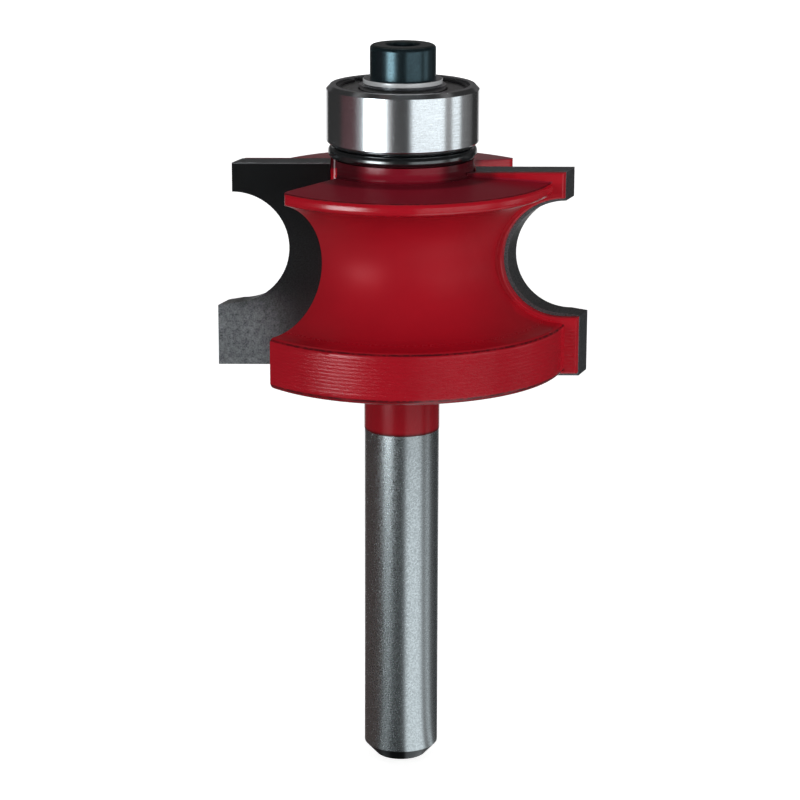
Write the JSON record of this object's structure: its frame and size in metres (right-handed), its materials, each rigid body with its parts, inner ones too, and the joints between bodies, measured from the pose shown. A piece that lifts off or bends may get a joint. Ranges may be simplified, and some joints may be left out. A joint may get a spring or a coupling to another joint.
{
  "type": "router bit",
  "caption": "Bearing-guided half-round router bit with a plain round shank, a red cutter head with carbide tips and a guide bearing held on top by a cap screw.",
  "frame": {"origin": "centre of the shank's end face, on the bit's axis", "axes": "+Z along the axis from the shank to the bearing and its screw, +X towards one carbide tip"},
  "size_m": [0.0312, 0.0278, 0.0624],
  "materials": {
    "red_paint": "gloss",
    "carbide": "ground, dark grey",
    "bearing_steel": "polished",
    "bright_steel": "satin",
    "cage_steel": "pressed sheet",
    "black_oxide": "black oxide"
  },
  "bodies": {
    "cutter": {"cutter_body": "red_paint", "carbide_tip_1": "carbide", "carbide_tip_2": "carbide", "dust_ring": "black_oxide", "inner_race": "bearing_steel", "head_washer": "bright_steel", "cap_screw": "black_oxide"},
    "bearing_outer": {"outer_race": "bearing_steel", "shield_upper": "bright_steel", "shield_lower": "bright_steel", "shield_clip_upper": "bright_steel", "shield_clip_lower": "bright_steel"},
    "bearing_cage": {"cage_upper": "cage_steel", "cage_lower": "cage_steel"},
    "ball_1_body": {"ball_1": "bearing_steel"},
    "ball_2_body": {"ball_2": "bearing_steel"},
    "ball_3_body": {"ball_3": "bearing_steel"},
    "ball_4_body": {"ball_4": "bearing_steel"},
    "ball_5_body": {"ball_5": "bearing_steel"},
    "ball_6_body": {"ball_6": "bearing_steel"},
    "ball_7_body": {"ball_7": "bearing_steel"}
  },
  "joints": [
    {"name": "bearing_spin", "type": "hinge", "parent": "cutter", "child": "bearing_outer", "pos_m": [0, 0, 0.05659], "axis": [0, 0, 1], "continuous": true},
    {"name": "cage_orbit", "type": "hinge", "parent": "cutter", "child": "bearing_cage", "pos_m": [0, 0, 0.05659], "axis": [0, 0, 1], "continuous": true},
    {"name": "ball_1_roll", "type": "hinge", "parent": "bearing_cage", "child": "ball_1_body", "pos_m": [0.00437, 0, 0.05659], "axis": [0, 0, 1], "continuous": true},
    {"name": "ball_2_roll", "type": "hinge", "parent": "bearing_cage", "child": "ball_2_body", "pos_m": [0.00272, 0.00341, 0.05659], "axis": [0, 0, 1], "continuous": true},
    {"name": "ball_3_roll", "type": "hinge", "parent": "bearing_cage", "child": "ball_3_body", "pos_m": [-0.00097, 0.00426, 0.05659], "axis": [0, 0, 1], "continuous": true},
    {"name": "ball_4_roll", "type": "hinge", "parent": "bearing_cage", "child": "ball_4_body", "pos_m": [-0.00393, 0.00189, 0.05659], "axis": [0, 0, 1], "continuous": true},
    {"name": "ball_5_roll", "type": "hinge", "parent": "bearing_cage", "child": "ball_5_body", "pos_m": [-0.00393, -0.00189, 0.05659], "axis": [0, 0, 1], "continuous": true},
    {"name": "ball_6_roll", "type": "hinge", "parent": "bearing_cage", "child": "ball_6_body", "pos_m": [-0.00097, -0.00426, 0.05659], "axis": [0, 0, 1], "continuous": true},
    {"name": "ball_7_roll", "type": "hinge", "parent": "bearing_cage", "child": "ball_7_body", "pos_m": [0.00272, -0.00341, 0.05659], "axis": [0, 0, 1], "continuous": true}
  ],
  "couplings": [
    {"joint": "cage_orbit", "follows": "bearing_spin", "ratio": 0.6364},
    {"joint": "ball_1_roll", "follows": "bearing_spin", "ratio": 1.6969},
    {"joint": "ball_2_roll", "follows": "bearing_spin", "ratio": 1.6969},
    {"joint": "ball_3_roll", "follows": "bearing_spin", "ratio": 1.6969},
    {"joint": "ball_4_roll", "follows": "bearing_spin", "ratio": 1.6969},
    {"joint": "ball_5_roll", "follows": "bearing_spin", "ratio": 1.6969},
    {"joint": "ball_6_roll", "follows": "bearing_spin", "ratio": 1.6969},
    {"joint": "ball_7_roll", "follows": "bearing_spin", "ratio": 1.6969}
  ]
}
